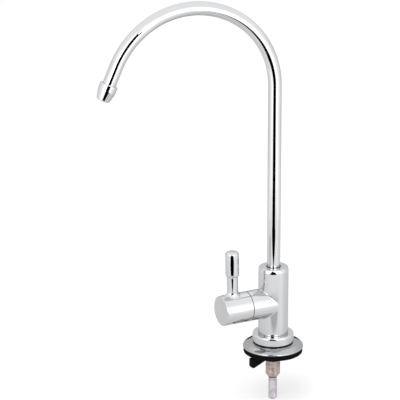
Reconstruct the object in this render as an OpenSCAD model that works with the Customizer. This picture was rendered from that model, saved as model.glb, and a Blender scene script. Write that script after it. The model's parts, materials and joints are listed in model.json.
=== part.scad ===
// Drinking water filter tap: a swivelling gooseneck spout on a body with a quarter-turn side valve.
// Sizes are in millimetres. The worktop's surface is z = 0, +Z is up and the spout points along -X.

/* [Spout] */
// Outside diameter of the bent tube
tube_d = 10; // [8:0.5:12]
// Wall of the tube
tube_wall = 1; // [0.8:0.1:1.2]
// Straight tube from the top of the body to the start of the arch
riser_l = 139.8; // [90:0.1:200]
// Radius of the arch, at the middle of the tube
arch_r = 60.5; // [45:0.5:90]
// Angle that the arch turns through, in degrees
arch_sweep = 122; // [100:1:130]
// Radius of the wider bend that follows the arch
end_r = 66.5; // [50:0.5:100]
// Angle of the wider bend, in degrees
end_sweep = 34.5; // [15:0.5:45]
// Straight tube between the last bend and the nozzle
end_l = 13.4; // [4:0.1:30]

/* [Nozzle] */
// Diameter of the nozzle's collar
nozzle_d = 13.2; // [12.6:0.1:16]
// Length of the collar
nozzle_collar_l = 5; // [3:0.1:8]
// Length of the cone below the collar
nozzle_cone_l = 7.6; // [6:0.1:12]
// Diameter of the cone's small end
nozzle_end_d = 9.8; // [9.4:0.1:12]
// Length of tube held in the nozzle
nozzle_grip_l = 6; // [4:0.1:6.5]
// Wall of the nozzle at its mouth
nozzle_wall = 1; // [0.8:0.1:1.4]
// Thickness of the ledge between the tube's end and the flow straightener
ledge_t = 1; // [0.6:0.1:1.5]
// Thickness of the flow straightener
straightener_t = 3; // [2:0.1:3.4]
// Diameter of each hole in the flow straightener
straightener_hole_d = 1.5; // [1:0.1:1.7]

/* [Body] */
// Diameter of the upright body
body_d = 22.8; // [21:0.2:28]
// Height of the body above its collar
body_h = 52.7; // [51:0.1:70]
// Height of the valve arm's middle above the collar
arm_rise = 24.3; // [20:0.1:25]
// Diameter of the valve arm and of the knob
arm_d = 22.7; // [21:0.1:26]
// Length of the arm from the body's middle to the seam with the knob
arm_l = 22.2; // [20:0.1:28]
// Turn of the arm from the spout's direction, in degrees
arm_turn = 12; // [-90:1:90]
// Rounding of the body's top edge
body_round = 1.8; // [0.4:0.1:2]
// Depth of the spout's socket in the body
socket_l = 19.7; // [19:0.1:21]
// Length of tube inside the socket
tube_in_socket_l = 9; // [7:0.1:9.2]
// Diameter of the water passages
passage_d = 5; // [4:0.1:5.4]

/* [Swivel] */
// Section of the spout's O-rings
swivel_section = 1.5; // [1.2:0.1:1.6]
// Thickness of the bearing washer under the spout
glide_t = 0.8; // [0.5:0.1:1]
// Length of the stub brazed into the tube
spigot_l = 6; // [4:0.5:12]
// Wall of the stub at its seal grooves
stub_wall = 1; // [0.8:0.1:1.2]
// Thickness of the snap ring
snap_t = 0.9; // [0.7:0.1:1]
// Depth of the snap ring's groove in the body
snap_bite = 0.6; // [0.4:0.1:0.8]

/* [Valve] */
// Depth of the valve's bore from the arm's end
valve_l = 14.2; // [13.9:0.1:14.6]
// Diameter of the valve's bore in the arm
valve_d = 15.2; // [15:0.1:16]
// Diameter of the ceramic discs
disc_d = 12.4; // [12:0.1:12.6]
// Thickness of each ceramic disc
disc_t = 2.4; // [2:0.1:2.6]
// Thickness of the rubber seat
seat_t = 2; // [1.6:0.1:2.4]
// Diameter of the spindle
spindle_d = 6; // [5:0.1:6.4]
// Thickness of the spindle's flange
spindle_flange_t = 2; // [1.6:0.1:2.4]
// Thickness of the friction washer
friction_t = 0.5; // [0.4:0.1:0.8]
// Section of the housing's O-ring
housing_section = 1.5; // [1.2:0.1:1.6]
// Section of the spindle's O-ring
spindle_section = 1; // [0.8:0.1:1.2]
// Thickness of the housing's flange on the arm's end
housing_flange_t = 1.2; // [0.8:0.1:1.6]
// Thickness of the housing's hexagon
housing_hex_t = 2.4; // [1.6:0.1:2.6]
// Length of the housing's neck above its hexagon
housing_neck_l = 1.4; // [0.8:0.1:1.6]
// Thickness of the spindle's clip
clip_t = 0.7; // [0.5:0.1:0.8]

/* [Handle] */
// Gap at the seam between the arm and the knob
seam_gap = 0.45; // [0.3:0.05:0.6]
// Length of the knob
knob_l = 22.1; // [19:0.1:28]
// Wall of the knob round the housing's hexagon
knob_wall = 1.7; // [1.2:0.1:2]
// Depth of the knob's hollow
knob_hollow_l = 7.3; // [7.2:0.1:7.4]
// Distance from the seam to the lever
lever_at = 12.1; // [12.1:0.1:14]
// Height of the lever above the knob
lever_h = 33.7; // [25:0.1:50]
// Diameter of the lever's stem
lever_stem_d = 8.4; // [7:0.1:8.6]
// Diameter of the lever's grip
lever_grip_d = 10.3; // [9:0.1:13]
// Length of the grip
lever_grip_l = 18.1; // [14:0.1:22]
// Length of the taper between the stem and the grip
lever_taper_l = 1.6; // [0.8:0.1:3]
// Rounding of the grip's top
lever_round = 2.2; // [1:0.1:4]
// Lean of the closed lever from upright, towards the back, in degrees
lever_lean = 1.5; // [-5:0.5:5]
// Diameter of the lever's threaded tail
lever_tail_d = 6; // [5:0.1:6.4]
// Diameter of the grub screw
grub_d = 4; // [3:0.5:5]

/* [Base] */
// Diameter of the collar under the body
collar_d = 31.4; // [28:0.2:36]
// Height of the collar
collar_h = 6.8; // [4:0.1:10]
// Rounding of the collar's edges
collar_round = 1; // [0.4:0.1:1.8]
// Thickness of the seal under the collar
seal_t = 0.6; // [0.4:0.1:2]
// Diameter of the cover plate
plate_d = 46; // [40:0.5:60]
// Thickness of the cover plate
plate_t = 1.1; // [0.8:0.1:1.4]
// Rise of the plate's cone from its rim to its middle
plate_rise = 2.9; // [1.4:0.1:4]
// Diameter of the gasket
gasket_d = 45; // [39:0.2:58]
// Thickness of the gasket at its rim
gasket_t = 4.2; // [2:0.1:5]
// Depth of the recess under the gasket, for the nut's washer
recess_h = 0.8; // [0.4:0.1:1.2]

/* [Shank] */
// Outside diameter of the thread
shank_d = 11.1; // [10:0.1:12]
// Pitch of the thread
thread_pitch = 1.0583; // [0.9:0.0001:1.1]
// Flat width of the thread's crests
thread_crest = 0.58; // [0.5:0.01:0.62]
// Depth of the thread
thread_depth = 0.45; // [0.3:0.01:0.5]
// Length of shank below the worktop's surface
shank_l = 20.3; // [18:0.1:60]
// Chamfer on the shank's end
shank_chamfer = 1.8; // [1:0.1:2.4]
// Length of shank screwed into the body
shank_in_body_l = 11; // [8:0.1:11.5]
// Thickness of the sealing washer on the shank's top
shank_washer_t = 1; // [0.6:0.1:1.4]
// Bore of the shank
shank_bore_d = 6; // [5:0.1:6.2]
// Diameter of the inlet stem
inlet_d = 6.35; // [6:0.05:8]
// Length of the inlet stem below the shank
inlet_l = 18.5; // [15:0.1:40]
// Bore of the inlet stem
inlet_bore_d = 4.2; // [3:0.1:4.4]
// Length of the inlet stem inside the shank
inlet_spigot_l = 10; // [5:0.5:20]
// Rounding of the inlet stem's end
inlet_round = 0.9; // [0.3:0.1:1]

/* [Wing nut] */
// Radius that the wings reach
wing_r = 20.6; // [15:0.1:30]
// Thickness of the wings
wing_t = 4; // [3:0.1:6]
// Depth of the wings' tips below the worktop's surface
wing_drop = 9.9; // [8:0.1:16]
// Rounding of the wings' tips
wing_round = 2.4; // [1:0.1:3]
// Rise of the wings' lower edge towards the hub, in degrees
wing_slope = 21; // [10:1:30]
// Gap between the gasket's underside and the wings
wing_gap = 2.3; // [2.1:0.1:3]
// Diameter of the nut's hub
hub_d = 16; // [14.5:0.1:20]
// Height of the nut's hub
hub_h = 5.6; // [5:0.1:10]
// Rest turn of the wings from the spout's direction, in degrees
nut_turn = 17; // [-90:1:90]
// Diameter of the nut's washer
washer_d = 21; // [18:0.5:23]
// Thickness of the nut's washer
washer_t = 1.5; // [1:0.1:2]
// Width of the thread's runout groove level with the foot of the parked nut
runout_w = 0.8; // [0.7:0.1:1]

/* [Fits] */
// Radial gap of the swivel and of the spindle
run_gap = 0.08; // [0.05:0.01:0.1]
// Gap between pieces that are screwed, pressed or brazed together
seat_gap = 0.04; // [0.02:0.01:0.06]
// Radial gap of holes that the shank passes through
pass_gap = 0.3; // [0.2:0.05:0.5]

/* [Hidden] */
$fn = 96;
chrome = "#d5d8db";
brass = "#c9ab62";
steel = "#aeb2b6";
shank_metal = "#b7a49c";
stem_metal = "#c9c2cb";
rubber = "#1c1c1d";
black_plastic = "#161617";
white_plastic = "#ecece8";
ceramic = "#f3efe4";
// Length that a cut runs past the face it starts from
past = 1;
// Room beside an O-ring in its groove
groove_slack = 0.4;

// Heights of the stack on the worktop
plate_foot_z = gasket_t;
plate_top_z = plate_foot_z + plate_t + plate_rise;
collar_z = plate_top_z + seal_t;
body_z = collar_z + collar_h;
arm_z = body_z + arm_rise;
body_top_z = body_z + body_h;
arch_z = body_top_z + riser_l;

// Spout
tube_bore_d = tube_d - 2 * tube_wall;
end_turn = arch_sweep + end_sweep;
end_centre_x = -arch_r + (arch_r - end_r) * cos(arch_sweep);
end_centre_z = arch_z + (arch_r - end_r) * sin(arch_sweep);
bend_lap = 0.5;
bend_step = 0.1;
nozzle_l = nozzle_collar_l + nozzle_cone_l;
straightener_d = nozzle_end_d - 2 * nozzle_wall;
nozzle_edge = 0.5;
ledge_w = 0.7;
straightener_rim = 0.7;
straightener_holes = 6;

// Swivel
socket_r = tube_d / 2 + run_gap;
socket_z = body_top_z - socket_l;
stub_z = socket_z + glide_t;
tube_z = body_top_z - tube_in_socket_l;
swivel_floor_r = socket_r - run_gap / 2 - swivel_section - seat_gap;
stub_bore_r = swivel_floor_r - stub_wall;
stub_land = 1.2;
snap_depth = 0.8;
swivel_groove_w = swivel_section + groove_slack;
lower_groove_z = stub_z + stub_land;
upper_groove_z = lower_groove_z + swivel_groove_w + stub_land;
snap_z = upper_groove_z + swivel_groove_w + stub_land;
snap_in_r = tube_d / 2 - snap_depth;
snap_out_r = socket_r + snap_bite - run_gap;
snap_slot = 3;
mouth_chamfer = 0.4;

// Valve, measured along the arm from the body's middle
seat_at = arm_l - valve_l;
fixed_at = seat_at + seat_t;
moving_at = fixed_at + disc_t;
flange_at = moving_at + disc_t;
friction_at = flange_at + spindle_flange_t;
roof_at = friction_at + friction_t;
hex_at = arm_l + housing_flange_t;
neck_at = hex_at + housing_hex_t;
clip_at = neck_at + housing_neck_l + run_gap;
knob_at = arm_l + seam_gap;
lever_s = knob_at + lever_at;
flat_margin = 1;
spindle_end = lever_s + grub_d / 2 + flat_margin + seam_gap;
housing_r = valve_d / 2 - seat_gap;
housing_lift = 0.4;
housing_land = 1;
neck_wall = 1.8;
chamber_r = disc_d / 2 + run_gap;
housing_foot = seat_at + housing_lift;
housing_groove_w = housing_section + groove_slack;
housing_groove_at = arm_l - housing_groove_w - housing_land;
housing_groove_r = valve_d / 2 - seat_gap - housing_section;
spindle_groove_w = spindle_section + groove_slack;
spindle_groove_at = arm_l + groove_slack;
spindle_groove_r = spindle_d / 2 - spindle_section + run_gap / 2;
seat_wall = 1.2;
inlet_recess_d = disc_d - 2 * seat_wall;
inlet_recess_l = 1.5;
gallery_h = 1.2;
outlet_d = 2;
outlet_z = arm_z + valve_d / 2;
plenum_wall = 1;
plenum_sump = 0.4;
cross_step = 0.8;
port_d = 3;
port_wall = 1.3;
port_at = disc_d / 2 - port_d / 2 - port_wall;
window_w = 6;
ear_w = 3;
tongue = [2.4, 8, 1.2];
clip_bite = 0.6;
clip_w = 1.6;
clip_groove_r = spindle_d / 2 - clip_bite;
clip_r = spindle_d / 2 + clip_w;

// Handle
arm_r = arm_d / 2;
knob_hollow_r = arm_r - knob_wall;
knob_clear = 0.3;
housing_flange_r = knob_hollow_r - knob_clear;
knob_edge = 0.6;
lever_sink = 2.2;
lever_seat = arm_r - lever_sink;
tail_clear = 1;
lever_tail_end = spindle_d / 2 + tail_clear;
lever_top = arm_r + lever_h;
grip_foot = lever_top - lever_grip_l;
flat_depth = 0.6;
spindle_flat = spindle_d / 2 - flat_depth;
grub_depth = 0.6;
grub_hex_d = grub_d / 2;

// Base
seal_inset = 0.4;
seal_r = collar_d / 2 - seal_inset;
seal_hole_clear = 4;
land_r = collar_d / 2;
shank_hole_r = shank_d / 2 + pass_gap;
plate_rim_w = 2;
plate_edge = 0.4;
boss_inset = 2.5;
boss_r = land_r - boss_inset;
recess_clear = 1;
recess_r = washer_d / 2 + recess_clear;

// Shank and nut
shank_r = shank_d / 2;
root_r = shank_r - thread_depth;
shank_top_z = body_z + shank_in_body_l;
shank_hole_top_z = shank_top_z + shank_washer_t;
thread_z = -shank_l + shank_chamfer;
thread_turns = floor((shank_top_z - thread_z - thread_crest) / thread_pitch);
nose_lip = 0.6;
shank_nose_r = inlet_d / 2 + nose_lip;
washer_z = recess_h - washer_t;
hub_z = washer_z - hub_h;
tip_r = wing_r - wing_round;
tip_z = -wing_drop + wing_round;
wing_foot_sink = 0.05;
wing_foot_r = tip_r - (wing_round - wing_foot_sink) * sin(wing_slope);
wing_foot_z = tip_z - (wing_round - wing_foot_sink) * cos(wing_slope);
wing_root_r = shank_r / 2;

// Frames: along the arm with +X up, along the lever with +Z up, and at the nozzle's top.
module at_arm(s = 0) {
    translate([0, 0, arm_z])
        rotate([0, 0, arm_turn])
            rotate([0, -90, 0])
                translate([0, 0, s])
                    children();
}

module at_lever() {
    at_arm(lever_s)
        rotate([0, 0, lever_lean])
            rotate([0, 90, 0])
                children();
}

module at_last_bend() {
    translate([end_centre_x, 0, end_centre_z])
        rotate([0, -end_turn, 0])
            translate([end_r, 0, 0])
                children();
}

module at_nozzle() {
    at_last_bend()
        translate([0, 0, end_l])
            children();
}

// A flat ring, from its foot upwards
module ring(outer_r, inner_r, h) {
    difference() {
        cylinder(r = outer_r, h = h);
        translate([0, 0, -past])
            cylinder(r = inner_r, h = h + 2 * past);
    }
}

// An O-ring that fits over a groove floor
module o_ring(inner_r, section) {
    rotate_extrude()
        translate([inner_r + section / 2, 0])
            circle(d = section);
}

// Half section of a disc with a rounded upper edge, and a rounded lower edge where one is given
module rounded_half(r, h, top_round, foot_round = 0) {
    translate([0, foot_round])
        square([r, h - top_round - foot_round]);
    translate([0, h - top_round])
        square([r - top_round, top_round]);
    translate([r - top_round, h - top_round])
        circle(r = top_round);
    if (foot_round > 0) {
        square([r - foot_round, foot_round]);
        translate([r - foot_round, foot_round])
            circle(r = foot_round);
    }
}

// A rod along the spout's path, run past both ends by a given length.
// The wider bend starts a little inside the arch, and is a hair slimmer.
module spout_rod(d, run) {
    end_d = d - bend_step;
    lap_turn = bend_lap / end_r * 180 / PI;
    translate([0, 0, tube_z - run])
        cylinder(d = d, h = arch_z - tube_z + run);
    translate([-arch_r, 0, arch_z])
        rotate([90, 0, 0])
            rotate_extrude(angle = arch_sweep)
                translate([arch_r, 0])
                    circle(d = d);
    at_last_bend() {
        cylinder(d = end_d, h = end_l + nozzle_grip_l + run);
        translate([-end_r, 0, 0])
            mirror([0, 0, 1])
                rotate([90, 0, 0])
                    rotate_extrude(angle = end_sweep + lap_turn)
                        translate([end_r, 0])
                            circle(d = end_d);
    }
}

module spout_tube() {
    color(chrome)
        difference() {
            spout_rod(tube_d, 0);
            spout_rod(tube_bore_d, past);
        }
}

module nozzle_tip() {
    grip_r = (tube_d - bend_step) / 2 + seat_gap;
    ledge_r = straightener_d / 2 - ledge_w;
    pocket_z = nozzle_grip_l + ledge_t;
    color(chrome)
        at_nozzle()
            rotate_extrude()
                polygon([
                    [grip_r, 0],
                    [nozzle_d / 2 - nozzle_edge, 0],
                    [nozzle_d / 2, nozzle_edge],
                    [nozzle_d / 2, nozzle_collar_l],
                    [nozzle_end_d / 2, nozzle_l - nozzle_edge],
                    [nozzle_end_d / 2 - nozzle_edge, nozzle_l],
                    [straightener_d / 2, nozzle_l],
                    [straightener_d / 2, pocket_z],
                    [ledge_r, pocket_z],
                    [ledge_r, nozzle_grip_l],
                    [grip_r, nozzle_grip_l]
                ]);
}

module flow_straightener() {
    hole_ring_r = straightener_d / 2 - straightener_hole_d / 2 - straightener_rim;
    color(white_plastic)
        at_nozzle()
            translate([0, 0, nozzle_grip_l + ledge_t])
                difference() {
                    cylinder(r = straightener_d / 2 - seat_gap, h = straightener_t);
                    translate([0, 0, -past])
                        cylinder(d = straightener_hole_d, h = straightener_t + 2 * past);
                    for (i = [1 : straightener_holes])
                        rotate([0, 0, i * 360 / straightener_holes])
                            translate([hole_ring_r, 0, -past])
                                cylinder(d = straightener_hole_d, h = straightener_t + 2 * past);
                }
}

module spout_stub() {
    color(brass)
        difference() {
            union() {
                translate([0, 0, stub_z])
                    cylinder(d = tube_d, h = tube_z - stub_z);
                translate([0, 0, stub_z])
                    cylinder(r = tube_bore_d / 2 - seat_gap, h = tube_z - stub_z + spigot_l);
            }
            translate([0, 0, stub_z - past])
                cylinder(r = stub_bore_r, h = tube_z - stub_z + spigot_l + 2 * past);
            for (z = [lower_groove_z, upper_groove_z])
                translate([0, 0, z])
                    ring(socket_r, swivel_floor_r, swivel_groove_w);
            translate([0, 0, snap_z])
                ring(socket_r, snap_in_r - seat_gap, snap_t + 2 * run_gap);
        }
}

module swivel_o_ring(groove_z) {
    color(rubber)
        translate([0, 0, groove_z + swivel_groove_w / 2])
            o_ring(swivel_floor_r + seat_gap, swivel_section);
}

module spout_snap_ring() {
    color(steel)
        translate([0, 0, snap_z + run_gap])
            difference() {
                ring(snap_out_r, snap_in_r, snap_t);
                translate([0, -snap_slot / 2, -past])
                    cube([snap_out_r + past, snap_slot, snap_t + 2 * past]);
            }
}

module glide_washer() {
    color(white_plastic)
        translate([0, 0, socket_z])
            ring(socket_r - seat_gap, stub_bore_r, glide_t);
}

module tap_body() {
    plenum_z = outlet_z - outlet_d / 2 - plenum_sump;
    cross_d = passage_d - cross_step;
    color(chrome)
        difference() {
            union() {
                translate([0, 0, body_z])
                    rotate_extrude()
                        rounded_half(body_d / 2, body_h, body_round);
                at_arm()
                    cylinder(r = arm_r, h = arm_l);
            }
            // Socket of the spout, with the snap ring's groove and a chamfered mouth
            translate([0, 0, socket_z])
                cylinder(r = socket_r, h = socket_l + past);
            translate([0, 0, snap_z - run_gap])
                cylinder(r = socket_r + snap_bite, h = snap_t + 4 * run_gap);
            translate([0, 0, body_top_z - mouth_chamfer])
                cylinder(r1 = socket_r, r2 = socket_r + mouth_chamfer, h = mouth_chamfer);
            // Hole for the shank, and the passage from it to the valve seat
            translate([0, 0, body_z - past])
                cylinder(r = shank_r + seat_gap, h = shank_hole_top_z - body_z + past);
            translate([0, 0, shank_hole_top_z - past])
                cylinder(d = passage_d, h = arm_z + passage_d / 2 - shank_hole_top_z + past);
            at_arm(-past)
                cylinder(d = cross_d, h = seat_at + past);
            at_arm(seat_at - inlet_recess_l)
                cylinder(d = inlet_recess_d, h = inlet_recess_l + past);
            // Bore of the valve, with a gallery round the outlet windows
            at_arm(seat_at)
                cylinder(d = valve_d, h = arm_l - seat_at + past);
            at_arm(moving_at)
                cylinder(r = valve_d / 2 + gallery_h, h = disc_t);
            // Passage from the gallery to the chamber under the spout
            translate([0, 0, outlet_z - arm_z])
                at_arm()
                    cylinder(d = outlet_d, h = moving_at + disc_t / 2);
            translate([0, 0, plenum_z])
                cylinder(r = stub_bore_r + plenum_wall, h = socket_z + past - plenum_z);
        }
}

module base_collar() {
    color(chrome)
        translate([0, 0, collar_z])
            difference() {
                rotate_extrude()
                    rounded_half(collar_d / 2, collar_h, collar_round, collar_round / 2);
                translate([0, 0, -past])
                    cylinder(r = shank_hole_r, h = collar_h + 2 * past);
            }
}

module collar_seal() {
    color(rubber)
        translate([0, 0, plate_top_z])
            ring(seal_r, shank_r + seal_hole_clear, seal_t);
}

module escutcheon_plate() {
    rim_r = plate_d / 2;
    rim_top_z = plate_foot_z + plate_t;
    color(chrome)
        rotate_extrude()
            polygon([
                [shank_hole_r, plate_top_z - plate_t],
                [land_r, plate_top_z - plate_t],
                [rim_r - plate_rim_w, plate_foot_z],
                [rim_r - plate_edge, plate_foot_z],
                [rim_r, plate_foot_z + plate_edge],
                [rim_r, rim_top_z - plate_edge],
                [rim_r - plate_edge, rim_top_z],
                [land_r, plate_top_z],
                [shank_hole_r, plate_top_z]
            ]);
}

module deck_gasket() {
    gasket_r = gasket_d / 2;
    boss_top_z = plate_top_z - plate_t;
    color(rubber)
        rotate_extrude()
            polygon([
                [shank_hole_r, recess_h],
                [recess_r, recess_h],
                [recess_r, 0],
                [gasket_r, 0],
                [gasket_r, gasket_t],
                [boss_r, gasket_t],
                [boss_r, boss_top_z],
                [shank_hole_r, boss_top_z]
            ]);
}

// One turn of the thread: its crest, then the root that leads to the next crest
function thread_turn(i) = let (
    z = thread_z + i * thread_pitch,
    flank = (thread_pitch - thread_crest) / 2
) [[shank_r, z], [shank_r, z + thread_crest], [root_r, z + thread_crest + flank]];

module threaded_shank() {
    color(shank_metal)
        difference() {
            rotate_extrude()
                polygon(concat(
                    [[0, -shank_l], [shank_nose_r, -shank_l]],
                    [for (i = [0 : thread_turns - 1]) each thread_turn(i)],
                    [[root_r, shank_top_z], [0, shank_top_z]]
                ));
            translate([0, 0, -shank_l - past])
                cylinder(d = shank_bore_d, h = shank_top_z + shank_l + 2 * past);
            translate([0, 0, hub_z])
                ring(shank_r + past, root_r, runout_w);
        }
}

module inlet_stem() {
    color(stem_metal)
        translate([0, 0, -shank_l])
            mirror([0, 0, 1])
                difference() {
                    union() {
                        rotate_extrude()
                            rounded_half(inlet_d / 2, inlet_l, inlet_round);
                        translate([0, 0, -inlet_spigot_l])
                            cylinder(r = shank_bore_d / 2 - seat_gap, h = inlet_spigot_l);
                    }
                    translate([0, 0, -inlet_spigot_l - past])
                        cylinder(d = inlet_bore_d, h = inlet_l + inlet_spigot_l + 2 * past);
                }
}

module shank_washer() {
    color(rubber)
        translate([0, 0, shank_top_z])
            ring(shank_r, passage_d / 2, shank_washer_t);
}

module cartridge_housing() {
    neck_r = spindle_d / 2 + neck_wall;
    color(brass)
        difference() {
            union() {
                at_arm(housing_foot)
                    cylinder(r = housing_r, h = arm_l - housing_foot);
                at_arm(arm_l)
                    cylinder(r = housing_flange_r, h = housing_flange_t);
                at_arm(hex_at)
                    cylinder(r = housing_flange_r, h = housing_hex_t, $fn = 6);
                at_arm(neck_at)
                    cylinder(r = neck_r, h = housing_neck_l);
            }
            at_arm(housing_foot - past)
                cylinder(r = chamber_r, h = roof_at - housing_foot + past);
            at_arm(housing_foot)
                cylinder(r = spindle_d / 2 + run_gap, h = clip_at - housing_foot);
            at_arm(housing_groove_at)
                ring(valve_d / 2, housing_groove_r, housing_groove_w);
            // Outlet windows beside the moving disc
            at_arm(moving_at)
                translate([-window_w / 2, -valve_d / 2, 0])
                    cube([window_w, valve_d, disc_t]);
            // Notches that hold the fixed disc's ears
            at_arm(housing_foot - past)
                translate([-valve_d / 2, -ear_w / 2 - run_gap, 0])
                    cube([valve_d, ear_w + 2 * run_gap, moving_at - housing_foot + past]);
        }
}

module cartridge_o_ring() {
    color(rubber)
        at_arm(housing_groove_at + housing_groove_w / 2)
            o_ring(housing_groove_r, housing_section);
}

module seat_seal() {
    color(rubber)
        at_arm(seat_at)
            ring(disc_d / 2, inlet_recess_d / 2, seat_t);
}

module fixed_disc() {
    color(ceramic)
        at_arm(fixed_at)
            difference() {
                union() {
                    cylinder(d = disc_d, h = disc_t);
                    intersection() {
                        translate([-housing_r, -ear_w / 2, 0])
                            cube([2 * housing_r, ear_w, disc_t]);
                        cylinder(r = housing_r - run_gap, h = disc_t);
                    }
                }
                for (side = [-1, 1])
                    translate([0, side * port_at, -past])
                        cylinder(d = port_d, h = disc_t + 2 * past);
            }
}

module moving_disc() {
    color(ceramic)
        at_arm(moving_at)
            difference() {
                cylinder(d = disc_d, h = disc_t);
                for (side = [-1, 1])
                    translate([side * port_at, 0, -past]) {
                        cylinder(d = port_d, h = disc_t + 2 * past);
                        translate([side > 0 ? 0 : -disc_d / 2, -port_d / 2, 0])
                            cube([disc_d / 2, port_d, disc_t + 2 * past]);
                    }
                translate([-tongue.x / 2 - run_gap, -tongue.y / 2 - run_gap, disc_t - tongue.z - run_gap])
                    cube([tongue.x + 2 * run_gap, tongue.y + 2 * run_gap, tongue.z + past]);
            }
}

module spindle() {
    color(brass)
        difference() {
            union() {
                at_arm(flange_at)
                    cylinder(r = disc_d / 2 - run_gap, h = spindle_flange_t);
                at_arm(flange_at)
                    cylinder(d = spindle_d, h = spindle_end - flange_at);
                at_arm(flange_at - tongue.z)
                    translate([-tongue.x / 2, -tongue.y / 2, 0])
                        cube([tongue.x, tongue.y, tongue.z + past]);
            }
            at_arm(spindle_groove_at)
                ring(spindle_d / 2 + past, spindle_groove_r, spindle_groove_w);
            at_arm(clip_at)
                ring(spindle_d / 2 + past, clip_groove_r, clip_t + run_gap);
            // Flat under the grub screw
            at_arm(lever_s - grub_d / 2 - flat_margin)
                rotate([0, 0, lever_lean])
                    translate([-spindle_flat - spindle_d, -spindle_d, 0])
                        cube([spindle_d, 2 * spindle_d, spindle_end]);
        }
}

module spindle_o_ring() {
    color(rubber)
        at_arm(spindle_groove_at + spindle_groove_w / 2)
            o_ring(spindle_groove_r, spindle_section);
}

module friction_washer() {
    color(white_plastic)
        at_arm(friction_at)
            ring(disc_d / 2 - run_gap, spindle_d / 2 + run_gap, friction_t);
}

module spindle_clip() {
    color(steel)
        at_arm(clip_at + run_gap / 2)
            difference() {
                ring(clip_r, clip_groove_r + seat_gap, clip_t);
                translate([0, -spindle_d / 3, -past])
                    cube([clip_r + past, 2 * spindle_d / 3, clip_t + 2 * past]);
            }
}

module handle_knob() {
    color(chrome)
        difference() {
            at_arm(knob_at)
                rotate_extrude()
                    rounded_half(arm_r, knob_l, knob_edge, knob_edge / 3);
            at_arm(knob_at - past)
                cylinder(r = knob_hollow_r, h = knob_hollow_l + past);
            at_arm(knob_at)
                cylinder(r = spindle_d / 2 + seat_gap, h = spindle_end - knob_at + seam_gap);
            // Threaded hole of the lever, with a counterbore for its stem
            at_lever()
                cylinder(r = lever_tail_d / 2 + seat_gap, h = arm_r + past);
            at_lever()
                translate([0, 0, lever_seat])
                    cylinder(r = lever_stem_d / 2 + seat_gap, h = arm_r);
            // Threaded hole of the grub screw
            at_lever()
                rotate([180, 0, 0])
                    cylinder(r = grub_d / 2 + seat_gap, h = arm_r + past);
        }
}

module lever_pin() {
    tail_r = lever_tail_d / 2;
    stem_r = lever_stem_d / 2;
    grip_r = lever_grip_d / 2;
    color(chrome)
        at_lever()
            union() {
                translate([0, 0, lever_tail_end])
                    cylinder(r = tail_r, h = lever_seat - lever_tail_end);
                translate([0, 0, lever_seat])
                    cylinder(r = stem_r, h = grip_foot - lever_taper_l - lever_seat);
                translate([0, 0, grip_foot - lever_taper_l])
                    cylinder(r1 = stem_r, r2 = grip_r, h = lever_taper_l);
                translate([0, 0, grip_foot])
                    rotate_extrude()
                        rounded_half(grip_r, lever_grip_l, lever_round);
            }
}

module grub_screw() {
    length = sqrt(pow(arm_r, 2) - pow(grub_d / 2, 2)) - grub_depth - spindle_flat;
    color(steel)
        at_lever()
            rotate([180, 0, 0])
                translate([0, 0, spindle_flat + seat_gap])
                    difference() {
                        cylinder(d = grub_d, h = length - seat_gap);
                        translate([0, 0, length / 2])
                            cylinder(d = grub_hex_d, h = length, $fn = 6);
                    }
}

module thrust_washer() {
    color(steel)
        translate([0, 0, washer_z])
            ring(washer_d / 2, shank_hole_r, washer_t);
}

module wing_outline() {
    root_z = wing_foot_z + (wing_foot_r - wing_root_r) * tan(wing_slope);
    polygon([
        [wing_root_r, -wing_gap],
        [wing_r, -wing_gap],
        [wing_r, tip_z],
        [tip_r, tip_z],
        [wing_foot_r, wing_foot_z],
        [wing_root_r, root_z]
    ]);
    translate([tip_r, tip_z])
        circle(r = wing_round);
}

module wing_nut() {
    color(black_plastic)
        difference() {
            union() {
                translate([0, 0, hub_z])
                    cylinder(d = hub_d, h = hub_h);
                for (turn = [180, 0])
                    rotate([0, 0, nut_turn + turn])
                        rotate([90, 0, 0])
                            translate([0, 0, -wing_t / 2])
                                linear_extrude(wing_t)
                                    wing_outline();
            }
            translate([0, 0, -wing_drop - past])
                cylinder(r = shank_hole_r, h = wing_drop + 2 * past);
        }
}

spout_tube();
nozzle_tip();
flow_straightener();
spout_stub();
swivel_o_ring(upper_groove_z);  // spout_o_ring_upper
swivel_o_ring(lower_groove_z);  // spout_o_ring_lower
spout_snap_ring();
glide_washer();
tap_body();
base_collar();
collar_seal();
escutcheon_plate();
deck_gasket();
threaded_shank();
inlet_stem();
shank_washer();
cartridge_housing();
cartridge_o_ring();
seat_seal();
fixed_disc();
moving_disc();
spindle();
spindle_o_ring();
friction_washer();
spindle_clip();
handle_knob();
lever_pin();
grub_screw();
thrust_washer();
wing_nut();
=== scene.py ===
import json
import math

import bmesh
import bpy
from mathutils import Matrix, Vector


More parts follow.
